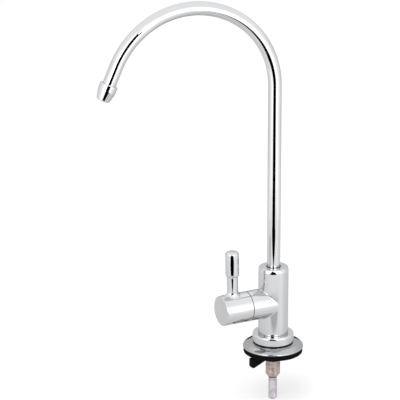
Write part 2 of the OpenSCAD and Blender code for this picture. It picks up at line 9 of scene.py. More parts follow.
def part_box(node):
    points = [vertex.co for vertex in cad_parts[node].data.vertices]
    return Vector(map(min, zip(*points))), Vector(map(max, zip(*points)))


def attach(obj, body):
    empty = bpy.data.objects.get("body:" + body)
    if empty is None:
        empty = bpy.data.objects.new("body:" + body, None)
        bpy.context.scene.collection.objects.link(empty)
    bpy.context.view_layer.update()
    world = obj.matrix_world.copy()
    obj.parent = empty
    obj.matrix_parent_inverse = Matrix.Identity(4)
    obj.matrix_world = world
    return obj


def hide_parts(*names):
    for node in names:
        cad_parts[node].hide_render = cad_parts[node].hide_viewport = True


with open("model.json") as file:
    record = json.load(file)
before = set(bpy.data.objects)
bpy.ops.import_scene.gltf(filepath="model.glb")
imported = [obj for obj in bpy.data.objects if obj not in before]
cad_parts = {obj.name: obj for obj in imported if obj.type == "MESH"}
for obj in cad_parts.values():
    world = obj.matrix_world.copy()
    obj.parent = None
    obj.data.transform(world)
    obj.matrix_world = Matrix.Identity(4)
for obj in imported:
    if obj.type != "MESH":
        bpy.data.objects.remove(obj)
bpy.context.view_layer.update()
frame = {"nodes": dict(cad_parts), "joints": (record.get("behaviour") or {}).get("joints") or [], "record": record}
nodes = frame["nodes"]
joints = {joint["name"]: joint for joint in frame["joints"]}
mm = 0.001
near = 0.01 * mm  # two points this close are the same point
print("frame loaded:", len(nodes), "nodes")


# Places that several pieces share, in mm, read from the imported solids
def low(node, axis):
    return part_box(node)[0][axis] / mm


def high(node, axis):
    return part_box(node)[1][axis] / mm


def halfWidth(node):
    return (high(node, 1) - low(node, 1)) / 2


armAxis = -Vector(joints["handle_turn"]["axis"])  # from the body out along the arm
armZ = joints["handle_turn"]["pos_m"][2] / mm
bodyZ = high("base_collar", 2)
bodyTopZ = high("tap_body", 2)
armTurn = math.atan2(armAxis.y, armAxis.x)
alongArm = Matrix.Rotation(armTurn, 4, "Z") @ Matrix.Rotation(math.pi / 2, 4, "Y")
armFrame = Matrix.Translation((0, 0, armZ * mm)) @ alongArm


# Camera at the photograph's viewing angle
camera = {
    "place": (-0.4021, -1.2878, 0.544),
    "aim": (-0.0532, 0.0143, 0.1205),
    "roll": -0.26,
    "lens": 171,
    "sensor": 36,
    "clip": (0.05, 50),
}


def addCamera(c):
    data = bpy.data.cameras.new("camera")
    data.lens = c["lens"]
    data.sensor_width = c["sensor"]
    data.clip_start, data.clip_end = c["clip"]
    eye = bpy.data.objects.new("camera", data)
    bpy.context.scene.collection.objects.link(eye)
    aim = Vector(c["aim"]) - Vector(c["place"])
    turn = aim.to_track_quat("-Z", "Y").to_matrix().to_4x4()
    roll = Matrix.Rotation(math.radians(c["roll"]), 4, "Z")
    eye.matrix_world = Matrix.Translation(c["place"]) @ turn @ roll
    bpy.context.scene.camera = eye


addCamera(camera)
print("camera placed")


# Materials
def newMaterial(name):
    material = bpy.data.materials.new(name)
    material.use_nodes = True
    tree = material.node_tree
    return material, tree, tree.nodes["Principled BSDF"]


def addNode(tree, kind, **settings):
    node = tree.nodes.new(kind)
    for key, value in settings.items():
        if key in node.inputs:
            node.inputs[key].default_value = value
        else:
            setattr(node, key, value)
    return node


def noiseOn(tree, scale, detail):  # noise on the piece's own coordinates
    place = addNode(tree, "ShaderNodeTexCoord")
    noise = addNode(tree, "ShaderNodeTexNoise", Scale=scale, Detail=detail)
    tree.links.new(place.outputs["Object"], noise.inputs["Vector"])
    return noise


def rampOn(tree, source, stops):  # stops: (position, grey or colour)
    ramp = addNode(tree, "ShaderNodeValToRGB")
    marks = ramp.color_ramp.elements
    while len(marks) < len(stops):
        marks.new(0.5)  # its place is set below
    for mark, (position, tone) in zip(marks, stops):
        mark.position = position
        mark.color = (tone, tone, tone, 1) if isinstance(tone, float) else (*tone, 1)
    tree.links.new(source, ramp.inputs["Fac"])
    return ramp


def bumpOn(tree, shader, source, strength, distance):
    bump = addNode(tree, "ShaderNodeBump", Strength=strength, Distance=distance)
    tree.links.new(source, bump.inputs["Height"])
    tree.links.new(bump.outputs["Normal"], shader.inputs["Normal"])


def stepBetween(tree, source, start, end, ease="LINEAR"):  # start, end: (value, result)
    step = addNode(tree, "ShaderNodeMapRange", interpolation_type=ease)
    step.inputs["From Min"].default_value = start[0]
    step.inputs["From Max"].default_value = end[0]
    step.inputs["To Min"].default_value = start[1]
    step.inputs["To Max"].default_value = end[1]
    tree.links.new(source, step.inputs["Value"])
    return step.outputs["Result"]


def product(tree, first, second):  # two colours multiplied
    both = addNode(tree, "ShaderNodeVectorMath", operation="MULTIPLY")
    tree.links.new(first, both.inputs[0])
    tree.links.new(second, both.inputs[1])
    return both.outputs["Vector"]


def ringsOn(tree, colour, r):  # painted shade: darkens the colour in bands by height on the piece, in a groove and where two pieces meet
    place = addNode(tree, "ShaderNodeTexCoord")
    split = addNode(tree, "ShaderNodeSeparateXYZ")
    tree.links.new(place.outputs["Object"], split.inputs["Vector"])
    share = stepBetween(tree, split.outputs["Z"], (r["foot"] * mm, 0), (r["top"] * mm, 1))
    ramp = rampOn(tree, share, r["stops"])
    return product(tree, colour, ramp.outputs["Color"])


surface = {  # what the finishes share, where a look doesn't say otherwise
    "gloss": 0.5, "edge": (1, 1, 1), "toneDetail": 4, "grainDetail": 3,
    "toneSpan": (0.3, 0.7), "roughSpan": (0.25, 0.75),  # the part of the noise that the ramps spread over
}


def makeMaterial(name, m):
    material, tree, shader = newMaterial(name)
    shader.inputs["Metallic"].default_value = m["metallic"]
    shader.inputs["Specular IOR Level"].default_value = m.get("gloss", surface["gloss"])
    shader.inputs["Specular Tint"].default_value = (*m.get("edge", surface["edge"]), 1)
    tone = noiseOn(tree, m["toneScale"], surface["toneDetail"])
    colour = rampOn(tree, tone.outputs["Fac"], list(zip(surface["toneSpan"], (m["dark"], m["light"]))))
    shade = colour.outputs["Color"]
    # painted shade in bands by height, where a look has it
    if "rings" in m:
        shade = ringsOn(tree, shade, m["rings"])
    tree.links.new(shade, shader.inputs["Base Color"])
    rough = rampOn(tree, tone.outputs["Fac"], list(zip(surface["roughSpan"], m["rough"])))
    tree.links.new(rough.outputs["Color"], shader.inputs["Roughness"])
    grain = noiseOn(tree, m["grainScale"], surface["grainDetail"])
    bumpOn(tree, shader, grain.outputs["Fac"], m["grain"], m["grainDepth"] * mm)
    return material


chromeLook = {  # bright plate over polished brass, with the faint unevenness of hand polishing
    "metallic": 1.0, "dark": (0.6, 0.605, 0.615), "light": (0.64, 0.644, 0.652), "edge": (0.8, 0.8, 0.82),
    "toneScale": 60, "rough": (0.02, 0.045), "grainScale": 45, "grain": 0.06, "grainDepth": 0.5,
}
plateLook = {  # polished stainless steel, darker than the chrome
    "metallic": 1.0, "dark": (0.4, 0.404, 0.412), "light": (0.45, 0.454, 0.462), "edge": (0.72, 0.72, 0.74),
    "toneScale": 90, "rough": (0.04, 0.08), "grainScale": 60, "grain": 0.06, "grainDepth": 0.4,
}
brassLook = {
    "metallic": 1.0, "dark": (0.6, 0.43, 0.18), "light": (0.74, 0.57, 0.28),
    "toneScale": 180, "rough": (0.22, 0.36), "grainScale": 1400, "grain": 0.15, "grainDepth": 0.05,
}
steelLook = {
    "metallic": 1.0, "dark": (0.46, 0.47, 0.49), "light": (0.6, 0.61, 0.62),
    "toneScale": 200, "rough": (0.24, 0.4), "grainScale": 1600, "grain": 0.15, "grainDepth": 0.05,
}
shankLook = {  # dull nickel over brass, warm and mottled
    "metallic": 0.92, "dark": (0.6, 0.5, 0.48), "light": (0.86, 0.75, 0.72), "edge": (0.2, 0.18, 0.17),
    "toneScale": 420, "rough": (0.34, 0.52), "grainScale": 900, "grain": 0.3, "grainDepth": 0.06,
}
stemLook = {  # satin plate, pale with a lilac cast
    "metallic": 0.75, "dark": (0.55, 0.5, 0.56), "light": (0.78, 0.74, 0.79), "edge": (0.4, 0.37, 0.41),
    "toneScale": 300, "rough": (0.32, 0.44), "grainScale": 900, "grain": 0.18, "grainDepth": 0.05,
    "rings": {"foot": -24.3, "top": -20.3, "stops": [
        (0.1, 1.0), (0.2, 0.72), (0.35, 0.72), (0.42, 0.88), (0.66, 0.88), (0.72, 0.3)]},  # heights in mm; painted shade in the stem's groove, darkest under the shank's foot
}
gasketLook = {
    "metallic": 0.0, "dark": (0.004, 0.004, 0.004), "light": (0.008, 0.008, 0.008),
    "toneScale": 260, "rough": (0.55, 0.75), "grainScale": 1500, "grain": 0.35, "grainDepth": 0.08,
    "gloss": 0.02,
}
sealLook = {
    "metallic": 0.0, "dark": (0.009, 0.009, 0.01), "light": (0.02, 0.02, 0.021),
    "toneScale": 300, "rough": (0.42, 0.6), "grainScale": 1800, "grain": 0.25, "grainDepth": 0.05,
    "gloss": 0.15,
}
blackPlasticLook = {
    "metallic": 0.0, "dark": (0.004, 0.004, 0.004), "light": (0.008, 0.008, 0.008),
    "toneScale": 200, "rough": (0.48, 0.66), "grainScale": 1300, "grain": 0.4, "grainDepth": 0.07,
    "gloss": 0.03,
}
whitePlasticLook = {
    "metallic": 0.0, "dark": (0.74, 0.74, 0.71), "light": (0.83, 0.83, 0.8),
    "toneScale": 220, "rough": (0.38, 0.5), "grainScale": 1500, "grain": 0.12, "grainDepth": 0.04,
}
ceramicLook = {
    "metallic": 0.0, "dark": (0.8, 0.77, 0.69), "light": (0.88, 0.85, 0.78),
    "toneScale": 260, "rough": (0.1, 0.18), "grainScale": 2000, "grain": 0.06, "grainDepth": 0.03,
}
materials = {
    "chrome": makeMaterial("polishedChrome", chromeLook),
    "plate_steel": makeMaterial("polishedSteel", plateLook),
    "brass": makeMaterial("turnedBrass", brassLook),
    "spring_steel": makeMaterial("brightSteel", steelLook),
    "shank_metal": makeMaterial("dullNickel", shankLook),
    "stem_metal": makeMaterial("satinNickel", stemLook),
    "gasket_rubber": makeMaterial("gasketRubber", gasketLook),
    "seal_rubber": makeMaterial("sealRubber", sealLook),
    "black_plastic": makeMaterial("blackPlastic", blackPlasticLook),
    "white_plastic": makeMaterial("whitePlastic", whitePlasticLook),
    "ceramic": makeMaterial("lappedCeramic", ceramicLook),
}
slotOf = {part["node"]: part["material_slot"] for part in frame["record"]["subparts"]}
bodyOf = {node: body for body, group in frame["record"]["behaviour"]["bodies"].items() for node in group}
print("materials made:", len(materials))


# Mesh helpers
meshing = {
    "sides": 128, "edgeSegments": 5, "rollSteps": 14, "spokeCuts": 5, "wallShare": 0.02, "crease": 38,
    "shadingWeight": 80,
}


def vertsIn(geom):
    return [item for item in geom if isinstance(item, bmesh.types.BMVert)]


def edgesIn(geom):
    return [item for item in geom if isinstance(item, bmesh.types.BMEdge)]


def grow(bm, edges):  # extrudes edges and returns the new points and the new open edges
    grown = bmesh.ops.extrude_edge_only(bm, edges=edges)["geom"]
    return vertsIn(grown), [edge for edge in edgesIn(grown) if edge.is_boundary]


def cleanUp(bm):
    bmesh.ops.remove_doubles(bm, verts=bm.verts, dist=near)
    bmesh.ops.recalc_face_normals(bm, faces=bm.faces)


def roundEdges(bm, edges, offset, segments):
    bmesh.ops.bevel(
        bm, geom=edges, offset=offset * mm, offset_type="OFFSET", segments=segments,
        profile=0.5, affect="EDGES", material=-1, clamp_overlap=True,
    )


def ringAt(bm, radius, height):  # the edges of one turned ring
    def onRing(vert):
        return abs(vert.co.xy.length - radius * mm) < near and abs(vert.co.z - height * mm) < near

    return [edge for edge in bm.edges if all(onRing(vert) for vert in edge.verts)]


def turned(outline, steps=meshing["sides"]):  # outline: (radius, height, rounding) in mm, closed on itself
    bm = bmesh.new()
    points = [bm.verts.new((radius * mm, 0, height * mm)) for radius, height, _ in outline]
    for start, end in zip(points, points[1:] + points[:1]):
        if start.co.x > near or end.co.x > near:
            bm.edges.new((start, end))
    bmesh.ops.spin(
        bm, geom=bm.verts[:] + bm.edges[:], cent=(0, 0, 0), axis=(0, 0, 1),
        angle=2 * math.pi, steps=steps, use_merge=True,
    )
    cleanUp(bm)
    for radius, height, rounding in outline:
        if rounding > 0:
            roundEdges(bm, ringAt(bm, radius, height), rounding, meshing["edgeSegments"])
    return bm


def shoulder(radius, top, width, drop):  # outline of an edge rolled over by a quarter ellipse
    steps = meshing["rollSteps"]
    turns = [math.pi / 2 * step / steps for step in range(steps + 1)]
    return [(radius - width * (1 - math.cos(turn)), top - drop * (1 - math.sin(turn)), 0) for turn in turns]


def wallRows(middle, half, count):  # heights of the rings that a part of a turned wall is cut into
    return [middle - half + 2 * half * row / count for row in range(count + 1)]


def openWall(bm, wallRadius, height, reach, holeRadius, margin):
    # Opens a round hole through a turned wall, on its +X side, and returns the hole's edges
    halfTurn, halfHeight = reach  # margin: width of the ring of faces kept round the hole for a fillet

    def inPatch(face):
        centre = face.calc_center_median()
        atWall = abs(centre.xy.length - wallRadius * mm) < meshing["wallShare"] * wallRadius * mm
        turn = abs(math.atan2(centre.y, centre.x))
        return atWall and turn < math.radians(halfTurn) and abs(centre.z - height * mm) < halfHeight * mm

    def onWall(flat):  # flat: a place on the wall rolled out flat, from the hole's middle
        turn = flat.x / wallRadius
        return Vector((wallRadius * math.cos(turn), wallRadius * math.sin(turn), height + flat.y)) * mm

    patch = [face for face in bm.faces if inPatch(face)]
    inside = set(patch)
    rim = [edge for face in patch for edge in face.edges if not inside.issuperset(edge.link_faces)]
    bmesh.ops.delete(bm, geom=patch, context="FACES")
    guard, guardEdges = grow(bm, rim)
    holeAt = {}
    for vert in guard:
        outer = Vector((wallRadius * math.atan2(vert.co.y, vert.co.x), vert.co.z / mm - height))
        turn = math.atan2(outer.x, outer.y)
        across = wallRadius * math.asin(holeRadius * math.sin(turn) / wallRadius)
        inner = Vector((across, holeRadius * math.cos(turn)))
        holeAt[vert] = onWall(inner)
        vert.co = onWall(inner + (outer - inner).normalized() * margin)
    hole, _ = grow(bm, guardEdges)
    for vert in hole:
        source = next(edge.other_vert(vert) for edge in vert.link_edges if edge.other_vert(vert) in holeAt)
        vert.co = holeAt[source]
    ringed = set(guard + hole)
    spokes = [edge for vert in guard for edge in vert.link_edges if edge.other_vert(vert) not in ringed]
    added = bmesh.ops.subdivide_edges(bm, edges=spokes, cuts=meshing["spokeCuts"], use_grid_fill=True)
    for vert in vertsIn(added["geom_inner"]):
        vert.co.xy = vert.co.xy.normalized() * wallRadius * mm
    return [edge for edge in bm.edges if edge.is_boundary]


def drawOut(bm, edges, along=None, radius=None, centre=None):
    # Extrudes a hole's edges, to a place along X and to a radius about the hole's middle
    verts, ends = grow(bm, edges)
    for vert in verts:
        if along is not None:
            vert.co.x = along * mm
        if radius is not None:
            spoke = Vector((vert.co.y, vert.co.z - centre * mm)).normalized() * radius * mm
            vert.co.y = spoke.x
            vert.co.z = spoke.y + centre * mm
    return ends


def addPiece(name, bm, node, placed=None, crease=meshing["crease"]):
    if placed is not None:
        bmesh.ops.transform(bm, matrix=placed, verts=bm.verts)
    bmesh.ops.recalc_face_normals(bm, faces=bm.faces)
    mesh = bpy.data.meshes.new(name)
    bm.to_mesh(mesh)
    bm.free()
    mesh.polygons.foreach_set("use_smooth", [True] * len(mesh.polygons))
    mesh.set_sharp_from_angle(angle=math.radians(crease))
    mesh.materials.append(materials[slotOf[node]])
    piece = bpy.data.objects.new(name, mesh)
    bpy.context.scene.collection.objects.link(piece)
    shading = piece.modifiers.new("evenShading", "WEIGHTED_NORMAL")
    shading.keep_sharp = True
    shading.weight = meshing["shadingWeight"]
    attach(piece, bodyOf[node])
    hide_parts(node)
    print("made", name, len(mesh.polygons), "faces")


# Spout: one bent tube, swept through its riser, its arch and its wider last bend
spout = {
    "radius": 5, "wall": 1, "archRadius": 60.5, "archTurn": 122, "endRadius": 66.5, "endTurn": 34.5,
    "endStraight": 13.4, "grip": 6, "sides": 96, "step": 2,
}
archZ = high("spout_tube", 2) - spout["radius"] - spout["archRadius"]
tubeFootZ = low("spout_tube", 2)


def makeSpout(s):
    bm = bmesh.new()
    for radius in (s["radius"], s["radius"] - s["wall"]):
        foot = Matrix.Translation((0, 0, tubeFootZ * mm))
        bmesh.ops.create_circle(bm, segments=s["sides"], radius=radius * mm, cap_ends=False, matrix=foot)
    start = bm.edges[:]

    def straight(edges, way, length):
        verts, ends = grow(bm, edges)
        bmesh.ops.translate(bm, verts=verts, vec=way * length * mm)
        return ends

    def bend(edges, centre, turn):
        verts = list({vert for edge in edges for vert in edge.verts})
        grown = bmesh.ops.spin(
            bm, geom=verts + edges, cent=centre * mm, axis=(0, -1, 0), angle=math.radians(turn),
            steps=round(turn / s["step"]), use_merge=False,
        )
        return edgesIn(grown["geom_last"])

    turn = math.radians(s["archTurn"])
    archCentre = Vector((-s["archRadius"], 0, archZ))
    outward = Vector((math.cos(turn), 0, math.sin(turn)))
    endCentre = archCentre + outward * (s["archRadius"] - s["endRadius"])
    last = turn + math.radians(s["endTurn"])
    end = straight(start, Vector((0, 0, 1)), archZ - tubeFootZ)
    end = bend(end, archCentre, s["archTurn"])
    end = bend(end, endCentre, s["endTurn"])
    end = straight(end, Vector((-math.sin(last), 0, math.cos(last))), s["endStraight"] + s["grip"])
    for rim in (start, end):
        bmesh.ops.bridge_loops(bm, edges=rim)
    cleanUp(bm)
    outlet = endCentre + Vector((math.cos(last), 0, math.sin(last))) * s["endRadius"]
    outlet += Vector((-math.sin(last), 0, math.cos(last))) * s["endStraight"]
    return bm, Matrix.Translation(outlet * mm) @ Matrix.Rotation(-last, 4, "Y")


spoutMesh, nozzleFrame = makeSpout(spout)
addPiece("spoutTube", spoutMesh, "spout_tube")


# Nozzle: a collar and a cone, pressed over the tube's end
nozzle = {
    "collar": 6.6, "collarLength": 5, "mouth": 4.9, "length": 12.6, "bore": 5.02, "boreDepth": 6,
    "ledge": 3.2, "pocket": 3.9, "pocketDepth": 7, "edge": 0.45, "lip": 0.5, "round": 0.3,
}


def makeNozzle(n):
    return turned([
        (n["bore"], 0, 0),
        (n["collar"], 0, n["edge"]),
        (n["collar"], n["collarLength"], n["round"]),
        (n["mouth"], n["length"] - n["lip"], n["round"]),
        (n["mouth"] - n["lip"], n["length"], n["round"] / 2),
        (n["pocket"], n["length"], n["round"] / 2),
        (n["pocket"], n["pocketDepth"], 0),
        (n["ledge"], n["pocketDepth"], 0),
        (n["ledge"], n["boreDepth"], 0),
        (n["bore"], n["boreDepth"], 0),
    ])


addPiece("nozzleTip", makeNozzle(nozzle), "nozzle_tip", nozzleFrame)


# Body: an upright cylinder with the valve arm growing out of its side
tapBody = {
    "radius": 11.4, "topRoll": (1.3, 3.3), "footRound": 0.3, "socket": 5.08, "socketDepth": 19.7,
    "mouth": 0.75, "mouthDepth": 2, "mouthEdge": 0.08, "shankHole": 5.59, "shankDepth": 12, "arm": 11.35,
    "armLength": 22.2, "armEdge": 0.12, "armSegments": 3, "bore": 7.6, "boreFloor": 8, "fillet": 0.5,
    "filletSegments": 6, "margin": 0.6, "sides": 144, "patch": (90, 13.2), "rows": 24,
}  # patch: half turn in degrees and half height of the wall that the arm grows from


def makeTapBody(b):
    rows = wallRows(armZ, b["patch"][1], b["rows"])
    bm = turned([
        (0, bodyZ + b["shankDepth"], 0),
        (b["shankHole"], bodyZ + b["shankDepth"], 0),
        (b["shankHole"], bodyZ, 0),
        (b["radius"], bodyZ, b["footRound"]),
        *[(b["radius"], row, 0) for row in rows],
        *shoulder(b["radius"], bodyTopZ, *b["topRoll"]),
        (b["socket"] + b["mouth"], bodyTopZ, b["mouthEdge"]),
        (b["socket"] + b["mouth"], bodyTopZ - b["mouthDepth"], 0),
        (b["socket"], bodyTopZ - b["mouthDepth"], 0),
        (b["socket"], bodyTopZ - b["socketDepth"], 0),
        (0, bodyTopZ - b["socketDepth"], 0),
    ], b["sides"])
    joint = openWall(bm, b["radius"], armZ, b["patch"], b["arm"], b["margin"])
    jointVerts = {vert for edge in joint for vert in edge.verts}
    end = drawOut(bm, joint, along=b["armLength"])
    inner = drawOut(bm, end, radius=b["bore"], centre=armZ)
    floor = drawOut(bm, inner, along=b["boreFloor"])
    bmesh.ops.contextual_create(bm, geom=floor)
    bmesh.ops.recalc_face_normals(bm, faces=bm.faces)
    roundEdges(bm, end, b["armEdge"], b["armSegments"])
    seam = [edge for edge in bm.edges if all(vert in jointVerts for vert in edge.verts)]
    roundEdges(bm, seam, b["fillet"], b["filletSegments"])
    return bm


addPiece("tapBody", makeTapBody(tapBody), "tap_body", Matrix.Rotation(armTurn, 4, "Z"))


# Knob and lever
knob = {
    "radius": 11.35, "start": 22.65, "length": 22.1, "edge": 0.6, "seamEdge": 0.12, "hollow": 9.5,
    "hollowDepth": 7.3, "spindleHole": 3.04, "spindleDepth": 15.9, "leverAt": 12.1, "leverHole": 4.22,
    "leverSeat": 9, "flare": 2.5, "flareMargin": 2.75, "flareSegments": 8, "grubHole": 2.04, "grubFloor": 3.4,
    "grubMargin": 0.24, "rim": 0.12, "rimSegments": 2, "sides": 144, "patch": (50, 8.4), "rows": 16,
    "lean": 1.5,
}


def makeKnob(k):
    rows = wallRows(k["leverAt"], k["patch"][1], k["rows"])
    bm = turned([
        (0, k["spindleDepth"], 0),
        (k["spindleHole"], k["spindleDepth"], 0),
        (k["spindleHole"], k["hollowDepth"], 0),
        (k["hollow"], k["hollowDepth"], 0),
        (k["hollow"], 0, 0),
        (k["radius"], 0, k["seamEdge"]),
        *[(k["radius"], row, 0) for row in rows],
        (k["radius"], k["length"], k["edge"]),
        (0, k["length"], 0),
    ], k["sides"])
    foot = openWall(bm, k["radius"], k["leverAt"], k["patch"], k["leverHole"], k["flareMargin"])
    footVerts = {vert for edge in foot for vert in edge.verts}
    sleeve = drawOut(bm, foot, along=k["radius"] + k["flare"])
    lip = drawOut(bm, sleeve, radius=k["leverHole"] - k["rim"], centre=k["leverAt"])
    seat = drawOut(bm, lip, along=k["leverSeat"])
    bmesh.ops.contextual_create(bm, geom=seat)
    bmesh.ops.recalc_face_normals(bm, faces=bm.faces)
    flare = [edge for edge in bm.edges if all(vert in footVerts for vert in edge.verts)]
    roundEdges(bm, flare, k["flare"], k["flareSegments"])
    bmesh.ops.rotate(bm, verts=bm.verts, cent=(0, 0, 0), matrix=Matrix.Rotation(math.pi, 3, "Z"))
    rim = openWall(bm, k["radius"], k["leverAt"], k["patch"], k["grubHole"], k["grubMargin"])
    floor = drawOut(bm, rim, along=k["grubFloor"])
    bmesh.ops.contextual_create(bm, geom=floor)
    bmesh.ops.recalc_face_normals(bm, faces=bm.faces)
    roundEdges(bm, rim, k["rim"], k["rimSegments"])
    return bm


handleFrame = armFrame @ Matrix.Rotation(math.radians(knob["lean"]), 4, "Z")
knobFrame = handleFrame @ Matrix.Translation((0, 0, knob["start"] * mm))
addPiece("handleKnob", makeKnob(knob), "handle_knob", knobFrame)

lever = {
    "tail": 3, "tailEnd": 4, "stem": 4.2, "stemRound": 0.35, "seat": 9, "grip": 5.15, "gripLength": 18.1,
    "gripRound": 0.7, "taper": 1.6, "top": 45.05, "topRound": 2.2,
}


def makeLever(v):
    gripFoot = v["top"] - v["gripLength"]
    return turned([
        (0, v["tailEnd"], 0),
        (v["tail"], v["tailEnd"], 0),
        (v["tail"], v["seat"], 0),
        (v["stem"], v["seat"], 0),
        (v["stem"], gripFoot - v["taper"], v["stemRound"]),
        (v["grip"], gripFoot, v["gripRound"]),
        (v["grip"], v["top"], v["topRound"]),
        (0, v["top"], 0),
    ])


upright = Matrix.Rotation(-math.pi / 2, 4, "Y")
leverFrame = knobFrame @ Matrix.Translation((0, 0, knob["leverAt"] * mm)) @ upright
addPiece("leverPin", makeLever(lever), "lever_pin", leverFrame)


# Base: collar, seal, cover plate and gasket
collar = {"topRoll": (0.9, 2), "footRound": 0.6, "hole": 5.85, "sides": 144}


def makeCollar(c):
    radius = halfWidth("base_collar")
    foot = low("base_collar", 2)
    return turned([
        (c["hole"], foot, 0),
        (radius, foot, c["footRound"]),
        *shoulder(radius, bodyZ, *c["topRoll"]),
        (c["hole"], bodyZ, 0),
    ], c["sides"])


addPiece("baseCollar", makeCollar(collar), "base_collar")

seal = {"hole": 9.55, "edge": 0.2}


def makeSeal(s):
    radius = halfWidth("collar_seal")
    foot, top = low("collar_seal", 2), high("collar_seal", 2)
    return turned([
        (s["hole"], foot, 0),
        (radius, foot, s["edge"]),
        (radius, top, s["edge"]),
        (s["hole"], top, 0),
    ])


addPiece("collarSeal", makeSeal(seal), "collar_seal")

plate = {
    "hole": 5.85, "land": 15.7, "thickness": 1.1, "rim": 2, "crown": 13, "domeSteps": 18, "lip": 0.25,
    "sides": 160,
}


def makePlate(p):
    radius = halfWidth("escutcheon_plate")
    foot, top = low("escutcheon_plate", 2), high("escutcheon_plate", 2)
    spread, rise = radius - p["crown"], top - foot - p["lip"]
    edge = foot + p["lip"]
    turns = [math.pi / 2 * (1 - step / p["domeSteps"]) for step in range(p["domeSteps"] + 1)]
    dome = [(p["crown"] + spread * math.sin(turn), edge + rise * math.cos(turn), 0) for turn in turns]
    return turned([
        (p["hole"], top - p["thickness"], 0),
        (p["land"], top - p["thickness"], 0),
        (radius - p["rim"], foot, 0),
        (radius, foot, p["lip"] / 2),
        *dome,
        (p["hole"], top, 0),
    ], p["sides"])


addPiece("escutcheonPlate", makePlate(plate), "escutcheon_plate")

gasket = {"hole": 5.85, "recess": 11.5, "recessDepth": 0.8, "recessEdge": 0.2, "boss": 13.2, "edge": 0.6}


def makeGasket(g):
    radius = halfWidth("deck_gasket")
    foot, top = low("deck_gasket", 2), high("deck_gasket", 2)
    rim = low("escutcheon_plate", 2)
    return turned([
        (g["hole"], foot + g["recessDepth"], 0),
        (g["recess"], foot + g["recessDepth"], 0),
        (g["recess"], foot, g["recessEdge"]),
        (radius, foot, g["edge"]),
        (radius, rim, g["edge"]),
        (g["boss"], rim, 0),
        (g["boss"], top, 0),
        (g["hole"], top, 0),
    ])


addPiece("deckGasket", makeGasket(gasket), "deck_gasket")


# Shank: a real helical thread, cut flat at the top and chamfered at the foot
shank = {
    "radius": 5.55, "depth": 0.45, "pitch": 1.0583, "crest": 0.3, "stepsPerTurn": 48, "spareTurns": 2,
    "cutNear": 0.001, "chamfer": 1.8, "nose": 3.775, "bore": 3, "crease": 30,
}


def makeShank(s):
    foot, top = low("threaded_shank", 2), high("threaded_shank", 2)
    threadFoot = foot + s["chamfer"]
    turns = math.ceil((top - threadFoot) / s["pitch"]) + s["spareTurns"]
    flank = (s["pitch"] - s["crest"]) / 2
    root = s["radius"] - s["depth"]
    bm = bmesh.new()
    tooth = [(root, 0), (s["radius"], flank), (s["radius"], flank + s["crest"]), (root, s["pitch"])]
    start = threadFoot - s["pitch"]
    points = [bm.verts.new((radius * mm, 0, (start + height) * mm)) for radius, height in tooth]
    for pair in zip(points, points[1:]):
        bm.edges.new(pair)
    bmesh.ops.spin(
        bm, geom=bm.verts[:] + bm.edges[:], cent=(0, 0, 0), axis=(0, 0, 1), angle=2 * math.pi * turns,
        steps=turns * s["stepsPerTurn"], dvec=(0, 0, s["pitch"] * mm / s["stepsPerTurn"]), use_merge=False,
    )
    cleanUp(bm)
    for height, way in ((top, 1), (threadFoot, -1)):
        bmesh.ops.bisect_plane(
            bm, geom=bm.verts[:] + bm.edges[:] + bm.faces[:], dist=s["cutNear"] * mm,
            plane_co=(0, 0, height * mm), plane_no=(0, 0, way), clear_outer=True,
        )

    def ringTo(edges, radius, height):  # carries a round rim on to another ring
        verts, ends = grow(bm, edges)
        for vert in verts:
            vert.co.xy = vert.co.xy.normalized() * radius * mm
            vert.co.z = height * mm
        return ends

    rims = [edge for edge in bm.edges if edge.is_boundary]
    upper = [edge for edge in rims if edge.verts[0].co.z > 0]
    lower = [edge for edge in rims if edge.verts[0].co.z < 0]
    ringTo(upper, s["bore"], top)
    for radius, height in ((s["nose"], foot), (s["bore"], foot), (s["bore"], top)):
        lower = ringTo(lower, radius, height)
    cleanUp(bm)
    return bm


addPiece("threadedShank", makeShank(shank), "threaded_shank", crease=shank["crease"])

stem = {
    "radius": 3.175, "bore": 2.1, "boreRound": 0.25, "footRound": 0.81, "spigot": 2.96, "groove": 2.6,
    "grooveDepth": 0.35, "grooveWidth": 0.8, "grooveEdge": 0.1, "neckCut": 1.2, "neckDepth": 0.6, "sides": 96,
}


def makeStem(s):
    foot, top = low("inlet_stem", 2), high("inlet_stem", 2)
    neck = low("threaded_shank", 2)
    ring = neck - s["groove"]
    return turned([
        (s["bore"], foot, s["boreRound"]),
        (s["radius"], foot, s["footRound"]),
        (s["radius"], ring - s["grooveWidth"], s["grooveEdge"]),
        (s["radius"] - s["grooveDepth"], ring - s["grooveWidth"] / 2, s["grooveEdge"]),
        (s["radius"], ring, s["grooveEdge"]),
        (s["radius"], neck - s["neckCut"], s["grooveEdge"]),
        (s["radius"] - s["neckDepth"], neck - s["neckCut"], 0),
        (s["radius"] - s["neckDepth"], neck, 0),
        (s["spigot"], neck, 0),
        (s["spigot"], top, 0),
        (s["bore"], top, 0),
    ], s["sides"])


addPiece("inletStem", makeStem(stem), "inlet_stem")


# Wing nut: two moulded wings on a hub
wingNut = {
    "turn": 17, "reach": 20.6, "thickness": 4, "top": -2.3, "drop": -9.9, "tipRound": 2.4, "tipSegments": 10,
    "slope": 21, "edge": 0.5, "edgeSegments": 3, "sharp": 1, "root": 1.2, "hub": 8, "hubFoot": -6.3,
    "hubTop": -0.7, "hubFootRound": 0.5, "hubTopRound": 0.4, "bore": 5.85, "boreRound": 0.3, "sides": 96,
}  # sharp: the edges that turn by more than this, in radians, are rounded


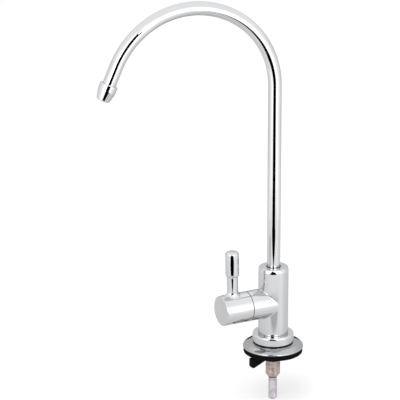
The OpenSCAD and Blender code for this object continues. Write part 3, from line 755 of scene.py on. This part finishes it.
def makeWingNut(w):
    bm = turned([
        (w["bore"], w["hubFoot"], w["boreRound"]),
        (w["hub"], w["hubFoot"], w["hubFootRound"]),
        (w["hub"], w["hubTop"], w["hubTopRound"]),
        (w["bore"], w["hubTop"], w["boreRound"]),
    ], w["sides"])
    slope = math.radians(w["slope"])
    inner = w["hub"] - w["root"]
    corner = w["tipRound"] / math.tan(math.pi / 4 - slope / 2)  # where the tip's arc leaves the edges
    tip = w["drop"] - (corner - w["tipRound"])
    for side in (0, math.pi):
        wing = bmesh.new()
        rise = (w["reach"] - inner) * math.tan(slope)
        corners = [(inner, w["top"]), (w["reach"], w["top"]), (w["reach"], tip), (inner, tip + rise)]
        verts = [wing.verts.new((x * mm, -w["thickness"] / 2 * mm, z * mm)) for x, z in corners]
        wing.faces.new(verts)
        bmesh.ops.bevel(
            wing, geom=[verts[2]], offset=corner * mm, offset_type="OFFSET",
            segments=w["tipSegments"], profile=0.5, affect="VERTICES", material=-1,
        )
        grown = bmesh.ops.extrude_face_region(wing, geom=wing.faces[:])["geom"]
        bmesh.ops.translate(wing, verts=vertsIn(grown), vec=(0, w["thickness"] * mm, 0))
        bmesh.ops.recalc_face_normals(wing, faces=wing.faces)
        edges = [edge for edge in wing.edges if edge.calc_face_angle(0) > w["sharp"]]
        roundEdges(wing, edges, w["edge"], w["edgeSegments"])
        turn = Matrix.Rotation(math.radians(w["turn"]) + side, 3, "Z")
        bmesh.ops.rotate(wing, verts=wing.verts, cent=(0, 0, 0), matrix=turn)
        extra = bpy.data.meshes.new("wing")
        wing.to_mesh(extra)
        wing.free()
        bm.from_mesh(extra)
        bpy.data.meshes.remove(extra)
    return bm


addPiece("wingNut", makeWingNut(wingNut), "wing_nut")


# Inner pieces keep their solids and get their finish
for name, node in nodes.items():
    if not node.hide_render:
        node.data.materials.clear()
        node.data.materials.append(materials[slotOf[name]])
print("inner pieces finished")


# Studio: a pale floor in a white light tent, with dark slits and a bright panel that only the metal shows
studio = {
    "floorZ": -0.039, "floorSize": 12, "floorTone": 0.8, "floorRough": 0.9, "floorGlow": 0.36,
    "worldLight": 0.75,
    # the floor as the metal shows it is painted light and shade: a band of painted light about 42° from the front
    "floorRound": [(-180, 0.9), (-90, 0.98), (-30, 1.11), (25, 1.14), (42, 1.2), (55, 1.11),
                   (75, 0.96), (180, 0.9)],  # (azimuth from the front, tone)
    "floorReach": [(0.0, 0.78), (0.06, 0.78), (0.13, 0.86), (0.17, 0.94), (0.3, 1.0), (0.45, 1.1),
                   (0.58, 1.4), (0.9, 1.6)],  # (distance, share): painted shade close under the tap, painted light further off
    "shadowSpotPlace": (-0.038, -0.197, -0.039), "shadowSpotSize": (0.15, 0.06, 1), "shadowSpotTurn": -11,
    "shadowSpotDepth": 0.42, "shadowSpotFull": 0.6,  # the spot is a painted shadow on the floor in front of the tap
    "tentRadius": 0.45, "tentWall": 0.58, "tentTop": 0.78, "tentMiddle": 0.07, "tentSides": 96, "roof": 1.22,
    "bay": [(-85, 0), (-55, 1), (17, 1), (47, 0)], "bayDepth": 1.3,  # the tent stands further off in front
    "hem": [(-0.235, 1.08), (-0.044, 1.0)],  # (sine of the elevation, share of the wall's tone)
    "roofEdge": [(0.42, 0), (0.75, 1)],
    "wall": [(-180, 0.95), (-160, 0.93), (-130, 0.96), (-103, 1.1), (-81, 1.34), (-62, 1.7), (-50, 1.9),
             (20, 1.9), (30, 1.8), (47, 1.4), (69, 1.2), (95, 0.98), (115, 0.9), (180, 0.95)],
    "boardTurn": -20, "slitTone": 0, "panelTone": 3.4, "backTurn": 163,
    "backSlit": [(0.25, -0.0385, 0.0, 0.02), (0.3, -0.0385, -0.06, 0.07), (0.4, -0.0385, -0.1, 0.11),
                 (0.4, 0.04, -0.1, 0.11), (0.4, 0.085, -0.07, 0.08)],
    "panel": [(0.8, 0.1, -0.6, 0.6), (0.8, 0.46, -0.6, 0.6)],
    "slit": [(0.312, -0.0385, 0.0, 0.03), (0.33, -0.0385, -0.1, 0.13), (0.345, -0.0385, -0.16, 0.185),
             (0.365, -0.0385, -0.2, 0.2), (0.39, -0.0385, -0.18, 0.178), (0.466, -0.0385, -0.215, 0.205),
             (0.61, -0.0385, -0.274, 0.262),
             (0.77, -0.0385, -0.35, 0.32), (0.78, 0.0, -0.34, 0.32), (0.78, 0.06, -0.24, 0.3),
             (0.78, 0.15, -0.21, 0.28), (0.78, 0.22, -0.22, 0.26), (0.78, 0.31, -0.22, 0.19),
             (0.78, 0.36, -0.2, 0.11), (0.78, 0.42, -0.17, 0.03), (0.78, 0.5, -0.13, -0.03),
             (0.78, 0.62, -0.085, -0.065)],  # the boards: (distance, height, left edge, right edge)
    "lamp": {"place": (-0.6, -0.8, 1.6), "aim": (-0.05, 0, 0.1), "size": 1.2, "power": 9},
}


mixSockets = {"share": 0, "first": 6, "second": 7, "result": 2}  # a Mix node's sockets for colours


def emitter(name, strength):
    material, tree, shader = newMaterial(name)
    tree.nodes.remove(shader)
    glow = addNode(tree, "ShaderNodeEmission", Color=(1, 1, 1, 1), Strength=strength)
    tree.links.new(glow.outputs["Emission"], tree.nodes["Material Output"].inputs["Surface"])
    return material


def stageCard(name, bm, material):
    mesh = bpy.data.meshes.new(name)
    bm.to_mesh(mesh)
    bm.free()
    mesh.materials.append(material)
    card = bpy.data.objects.new(name, mesh)
    bpy.context.scene.collection.objects.link(card)
    card.visible_camera = False
    card.visible_diffuse = False
    card.visible_shadow = False


def seenRay(tree):  # 1 for a ray that shows the surroundings, straight or in metal
    path = addNode(tree, "ShaderNodeLightPath")
    metal = addNode(tree, "ShaderNodeMath", operation="MAXIMUM")
    seen = addNode(tree, "ShaderNodeMath", operation="MAXIMUM")
    tree.links.new(path.outputs["Is Glossy Ray"], metal.inputs[0])
    tree.links.new(path.outputs["Is Transmission Ray"], metal.inputs[1])
    tree.links.new(path.outputs["Is Camera Ray"], seen.inputs[0])
    tree.links.new(metal.outputs["Value"], seen.inputs[1])
    return seen.outputs["Value"]


def toneAround(tree, stops):  # tone by azimuth from the front, as a share of the brightest stop
    place = addNode(tree, "ShaderNodeTexCoord")
    turn = addNode(tree, "ShaderNodeMapping", Rotation=(0, 0, math.radians(90)))
    around = addNode(tree, "ShaderNodeTexGradient", gradient_type="RADIAL")
    tree.links.new(place.outputs["Object"], turn.inputs["Vector"])
    tree.links.new(turn.outputs["Vector"], around.inputs["Vector"])
    brightest = max(tone for _, tone in stops)
    shares = [((azimuth + 180) / 360, tone / brightest) for azimuth, tone in stops]
    ramp = rampOn(tree, around.outputs["Fac"], shares)
    return place.outputs["Object"], ramp.outputs["Color"], brightest


def scaled(tree, source, factor):
    level = addNode(tree, "ShaderNodeMath", operation="MULTIPLY")
    level.inputs[1].default_value = factor
    tree.links.new(source, level.inputs[0])
    return level.outputs["Value"]


def makeFloorMaterial(s):  # pale and plain to the eye, and in the metal a glow of painted light and painted shade that varies round the tap
    material, tree, shader = newMaterial("paleFloor")
    shader.inputs["Base Color"].default_value = (s["floorTone"],) * 3 + (1,)
    shader.inputs["Roughness"].default_value = s["floorRough"]
    shader.inputs["Specular IOR Level"].default_value = 0.0
    shader.inputs["Emission Color"].default_value = (1, 1, 1, 1)
    glow = scaled(tree, seenRay(tree), s["floorGlow"])
    tree.links.new(glow, shader.inputs["Emission Strength"])
    place, around, brightest = toneAround(tree, s["floorRound"])
    distance = addNode(tree, "ShaderNodeVectorMath", operation="LENGTH")
    tree.links.new(place, distance.inputs[0])
    furthest, brightestReach = s["floorReach"][-1]
    share = stepBetween(tree, distance.outputs["Value"], (0, 0), (furthest, 1))
    reach = rampOn(tree, share, [(far / furthest, tone / brightestReach) for far, tone in s["floorReach"]])
    # painted shadow: a darker spot on the floor in front of the tap, seen in the metal
    shadowSpotPlace = addNode(
        tree, "ShaderNodeMapping", vector_type="TEXTURE", Location=s["shadowSpotPlace"],
        Rotation=(0, 0, math.radians(s["shadowSpotTurn"])), Scale=s["shadowSpotSize"],
    )
    shadowSpot = addNode(tree, "ShaderNodeTexGradient", gradient_type="SPHERICAL")
    tree.links.new(place, shadowSpotPlace.inputs["Vector"])
    tree.links.new(shadowSpotPlace.outputs["Vector"], shadowSpot.inputs["Vector"])
    shadowSpotEnd = (s["shadowSpotFull"], 1 - s["shadowSpotDepth"])
    dimmed = stepBetween(tree, shadowSpot.outputs["Fac"], (0, 1), shadowSpotEnd, ease="SMOOTHSTEP")
    # painted light and shade: what the metal shows of the floor, glowing in place of its lit look
    paintedLightAndShade = addNode(tree, "ShaderNodeEmission")
    tree.links.new(product(tree, around, reach.outputs["Color"]), paintedLightAndShade.inputs["Color"])
    tree.links.new(scaled(tree, dimmed, brightest * brightestReach), paintedLightAndShade.inputs["Strength"])
    path = addNode(tree, "ShaderNodeLightPath")
    either = addNode(tree, "ShaderNodeMixShader")
    tree.links.new(path.outputs["Is Glossy Ray"], either.inputs["Fac"])
    tree.links.new(shader.outputs["BSDF"], either.inputs[1])
    tree.links.new(paintedLightAndShade.outputs["Emission"], either.inputs[2])
    tree.links.new(either.outputs["Shader"], tree.nodes["Material Output"].inputs["Surface"])
    return material


def addFloor(s):
    bm = bmesh.new()
    bmesh.ops.create_grid(bm, x_segments=1, y_segments=1, size=s["floorSize"] / 2)
    bmesh.ops.translate(bm, verts=bm.verts, vec=(0, 0, s["floorZ"]))
    mesh = bpy.data.meshes.new("floor")
    bm.to_mesh(mesh)
    bm.free()
    mesh.materials.append(makeFloorMaterial(s))
    floor = bpy.data.objects.new("floor", mesh)
    bpy.context.scene.collection.objects.link(floor)


def addWorld(s):
    world = bpy.data.worlds.new("studio")
    world.use_nodes = True
    bpy.context.scene.world = world
    tree = world.node_tree
    back = tree.nodes["Background"]
    back.inputs["Color"].default_value = (1, 1, 1, 1)
    level = stepBetween(tree, seenRay(tree), (0, s["worldLight"]), (1, 1))
    tree.links.new(level, back.inputs["Strength"])


def addBoard(name, outline, turn, tone):  # a card beside the tap, seen in the metal alone
    bm = bmesh.new()
    rows = []
    for distance, height, *edges in outline:
        rows.append([bm.verts.new((edge, -distance, height)) for edge in edges])
    for lower, upper in zip(rows, rows[1:]):
        bm.faces.new((lower[0], lower[1], upper[1], upper[0]))
    bmesh.ops.rotate(bm, verts=bm.verts, cent=(0, 0, 0), matrix=Matrix.Rotation(math.radians(turn), 3, "Z"))
    stageCard(name, bm, emitter(name + "Tone", tone))


def between(value, stops):  # straight lines through the stops, level beyond them
    for (start, first), (end, last) in zip(stops, stops[1:]):
        if start <= value <= end:
            return first + (last - first) * (value - start) / (end - start)
    return stops[0][1] if value < stops[0][0] else stops[-1][1]


def addTent(s):
    bm = bmesh.new()
    route = [(s["tentRadius"], s["floorZ"]), (s["tentRadius"], s["tentWall"]), (0, s["tentTop"])]
    points = [bm.verts.new((0, -radius, height)) for radius, height in route]
    for start, end in zip(points, points[1:]):
        bm.edges.new((start, end))
    bmesh.ops.spin(
        bm, geom=bm.verts[:] + bm.edges[:], cent=(0, 0, 0), axis=(0, 0, 1),
        angle=2 * math.pi, steps=s["tentSides"], use_merge=True,
    )
    cleanUp(bm)
    for point in bm.verts:
        turn = math.degrees(math.atan2(point.co.x, -point.co.y))
        spread = 1 + s["bayDepth"] * between(turn, s["bay"])
        point.co.x *= spread
        point.co.y *= spread
        if point.co.z > s["tentMiddle"]:
            point.co.z = s["tentMiddle"] + (point.co.z - s["tentMiddle"]) * spread
    material, tree, shader = newMaterial("tentCloth")
    tree.nodes.remove(shader)
    place, wall, brightest = toneAround(tree, s["wall"])
    way = addNode(tree, "ShaderNodeVectorMath", operation="SUBTRACT")
    way.inputs[1].default_value = (0, 0, s["tentMiddle"])
    tree.links.new(place, way.inputs[0])
    aim = addNode(tree, "ShaderNodeVectorMath", operation="NORMALIZE")
    tree.links.new(way.outputs["Vector"], aim.inputs[0])
    rise = addNode(tree, "ShaderNodeSeparateXYZ")
    tree.links.new(aim.outputs["Vector"], rise.inputs["Vector"])
    hem = stepBetween(tree, rise.outputs["Z"], *s["hem"], ease="SMOOTHSTEP")
    cloth = addNode(tree, "ShaderNodeVectorMath", operation="SCALE")
    tree.links.new(wall, cloth.inputs[0])
    tree.links.new(hem, cloth.inputs["Scale"])
    roof = stepBetween(tree, rise.outputs["Z"], *s["roofEdge"], ease="SMOOTHSTEP")
    tone = addNode(tree, "ShaderNodeMix", data_type="RGBA")
    tree.links.new(roof, tone.inputs[mixSockets["share"]])
    tree.links.new(cloth.outputs["Vector"], tone.inputs[mixSockets["first"]])
    tone.inputs[mixSockets["second"]].default_value = (s["roof"] / brightest,) * 3 + (1,)
    glow = addNode(tree, "ShaderNodeEmission", Strength=brightest)
    tree.links.new(tone.outputs[mixSockets["result"]], glow.inputs["Color"])
    tree.links.new(glow.outputs["Emission"], tree.nodes["Material Output"].inputs["Surface"])
    stageCard("lightTent", bm, material)


def addLamp(name, p):
    data = bpy.data.lights.new(name, "AREA")
    data.shape = "DISK"
    data.size = p["size"]
    data.energy = p["power"]
    lamp = bpy.data.objects.new(name, data)
    bpy.context.scene.collection.objects.link(lamp)
    way = Vector(p["aim"]) - Vector(p["place"])
    lamp.matrix_world = Matrix.Translation(p["place"]) @ way.to_track_quat("-Z", "Y").to_matrix().to_4x4()
    lamp.visible_glossy = False


addFloor(studio)
addWorld(studio)
addTent(studio)
addBoard("lensSlit", studio["slit"], studio["boardTurn"], studio["slitTone"])
addBoard("brightPanel", studio["panel"], studio["boardTurn"], studio["panelTone"])
addBoard("backSlit", studio["backSlit"], studio["backTurn"], studio["slitTone"])
addLamp("softbox", studio["lamp"])
bpy.context.scene.view_settings.view_transform = "Standard"
print("studio lit")
